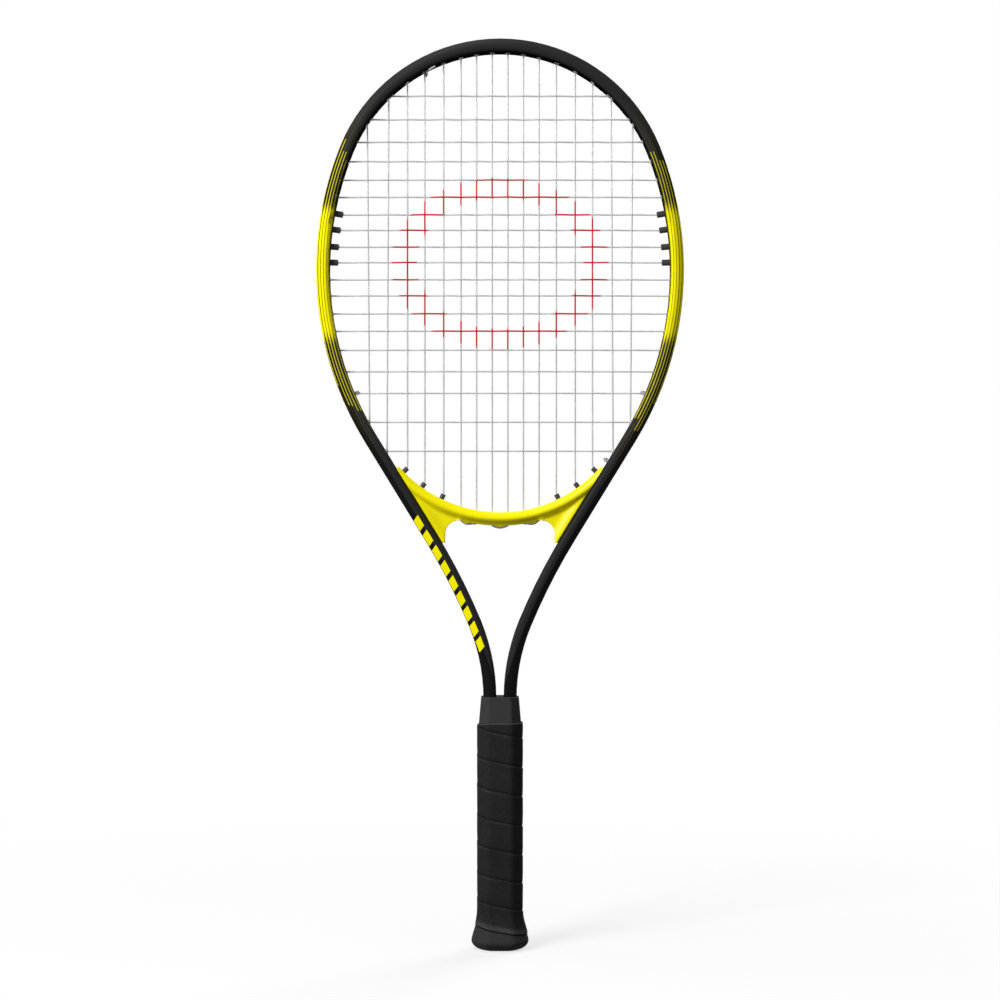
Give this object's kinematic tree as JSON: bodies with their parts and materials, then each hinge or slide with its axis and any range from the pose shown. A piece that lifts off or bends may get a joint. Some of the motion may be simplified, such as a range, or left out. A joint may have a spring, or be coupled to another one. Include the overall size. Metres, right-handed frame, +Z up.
{
  "type": "tennis racket",
  "caption": "Strung tennis racket with a bent aluminium hoop, a moulded throat bridge, grommet strips, woven string bed and a wrapped octagonal handle with a flared butt.",
  "frame": {"origin": "centre of the butt's end face", "axes": "+Z up the handle to the head, the string bed lies in the XZ plane, +Y is square to the strings"},
  "size_m": [0.282, 0.0398, 0.6985],
  "materials": {
    "frame_paint": "satin black enamel with bright yellow panels and stripes",
    "bridge_nylon": "glossy yellow moulding",
    "grommet_nylon": "dark grey nylon",
    "clear_nylon": "milky white nylon",
    "string_nylon": "light grey synthetic string with a red stencilled ring",
    "handle_foam": "moulded rigid foam",
    "screw_steel": "zinc plated",
    "collar_rubber": "dark grey moulded rubber",
    "grip_leather": "black cushioned synthetic leather wrap",
    "butt_rubber": "black moulded rubber",
    "plug_plastic": "black moulded plastic"
  },
  "bodies": {
    "root": {"frame_tube": "frame_paint", "throat_bridge": "bridge_nylon", "head_grommet_strip": "grommet_nylon", "left_grommet_strip": "grommet_nylon", "right_grommet_strip": "grommet_nylon", "lower_grommets": "clear_nylon", "left_bridge_grommets": "grommet_nylon", "right_bridge_grommets": "grommet_nylon", "main_string": "string_nylon", "cross_string": "string_nylon", "front_handle_shell": "handle_foam", "back_handle_shell": "handle_foam", "handle_screws": "screw_steel", "grip_collar": "collar_rubber", "grip_wrap": "grip_leather", "butt_cap": "butt_rubber", "butt_plug": "plug_plastic", "butt_cap_staples": "screw_steel"}
  },
  "joints": []
}
